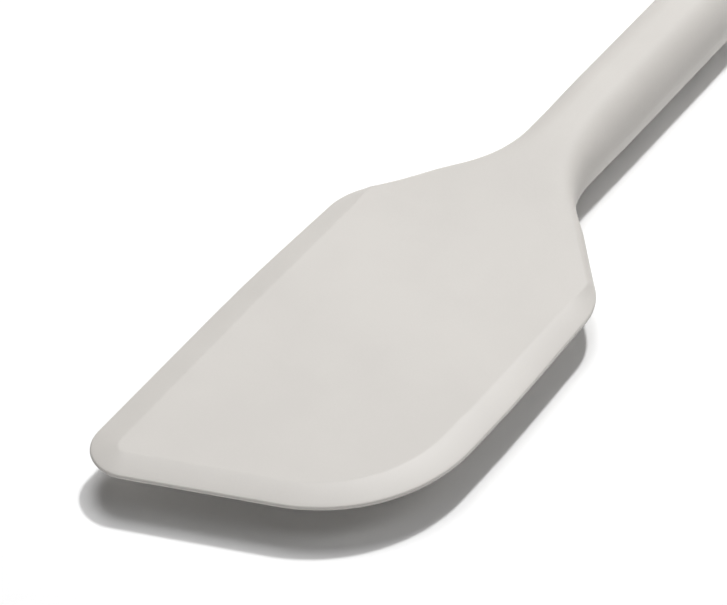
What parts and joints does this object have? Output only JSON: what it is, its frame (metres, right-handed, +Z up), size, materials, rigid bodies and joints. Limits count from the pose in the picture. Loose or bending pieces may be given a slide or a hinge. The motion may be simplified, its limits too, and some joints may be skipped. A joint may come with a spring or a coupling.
{
  "type": "silicone spatula",
  "caption": "Straight one-piece silicone spatula: flat bevelled head with a slanted tip, one tight and one broad corner, round handle over a riveted core.",
  "frame": {"origin": "under the middle of the spatula's box, on the surface that it lies on", "axes": "+X along the length, from the handle to the tip; +Y across the head, towards its broad corner; +Z up"},
  "size_m": [0.2776, 0.0642, 0.0172],
  "materials": {
    "silicone": "fine matte, satin on the bevel",
    "nylon": "moulded matte",
    "cap_nylon": "fine matte",
    "steel": "cold rolled, brushed along its length",
    "rivet_steel": "turned"
  },
  "bodies": {
    "root": {"silicone_body": "silicone", "steel_spine": "steel", "handle_core_upper": "nylon", "handle_core_lower": "nylon", "end_cap": "cap_nylon", "core_rivet_1": "rivet_steel", "core_rivet_2": "rivet_steel", "core_rivet_3": "rivet_steel", "cap_rivet": "rivet_steel"}
  },
  "joints": []
}
